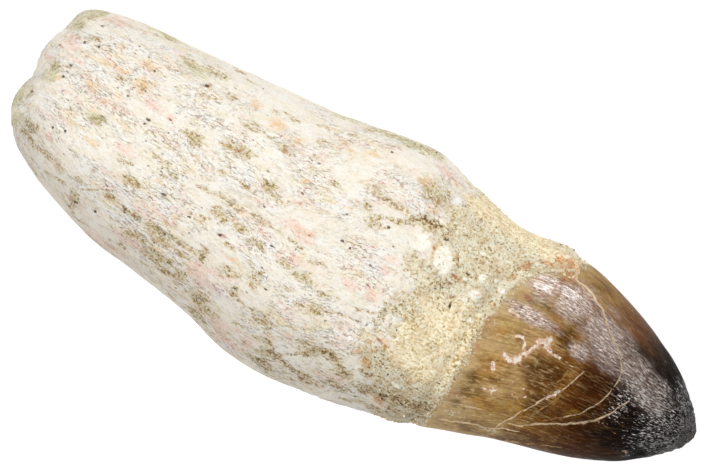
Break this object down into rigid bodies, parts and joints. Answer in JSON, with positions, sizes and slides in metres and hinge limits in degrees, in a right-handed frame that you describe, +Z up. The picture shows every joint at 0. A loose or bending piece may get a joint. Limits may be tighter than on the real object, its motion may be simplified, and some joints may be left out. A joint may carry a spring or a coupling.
{
  "type": "fossil mosasaur tooth",
  "caption": "Fossil marine reptile tooth lying on its side: a long chalky root and a blunt glossy brown crown, with cemented sandy matrix round the neck.",
  "frame": {"origin": "on the surface that the tooth lies on, under the middle of its box", "axes": "+X along the tooth from the broken root end to the crown's tip, +Y across it to the side of the sandy hump and the crown's smooth face, +Z up"},
  "size_m": [0.1196, 0.0442, 0.0348],
  "materials": {
    "root_bone": "matt chalky cream-white fossil bone with lengthwise fibres, sandy tan stains and pink and orange flecks",
    "crown_enamel": "glossy wrinkled enamel, golden brown at its base and nearly black at the tip, with pale cracks",
    "sand_matrix": "rough pale beige sand, cemented, with dark grains, bone chips and orange iron stains"
  },
  "bodies": {
    "root": {"tooth": "root_bone", "matrix_collar": "sand_matrix"}
  },
  "joints": []
}
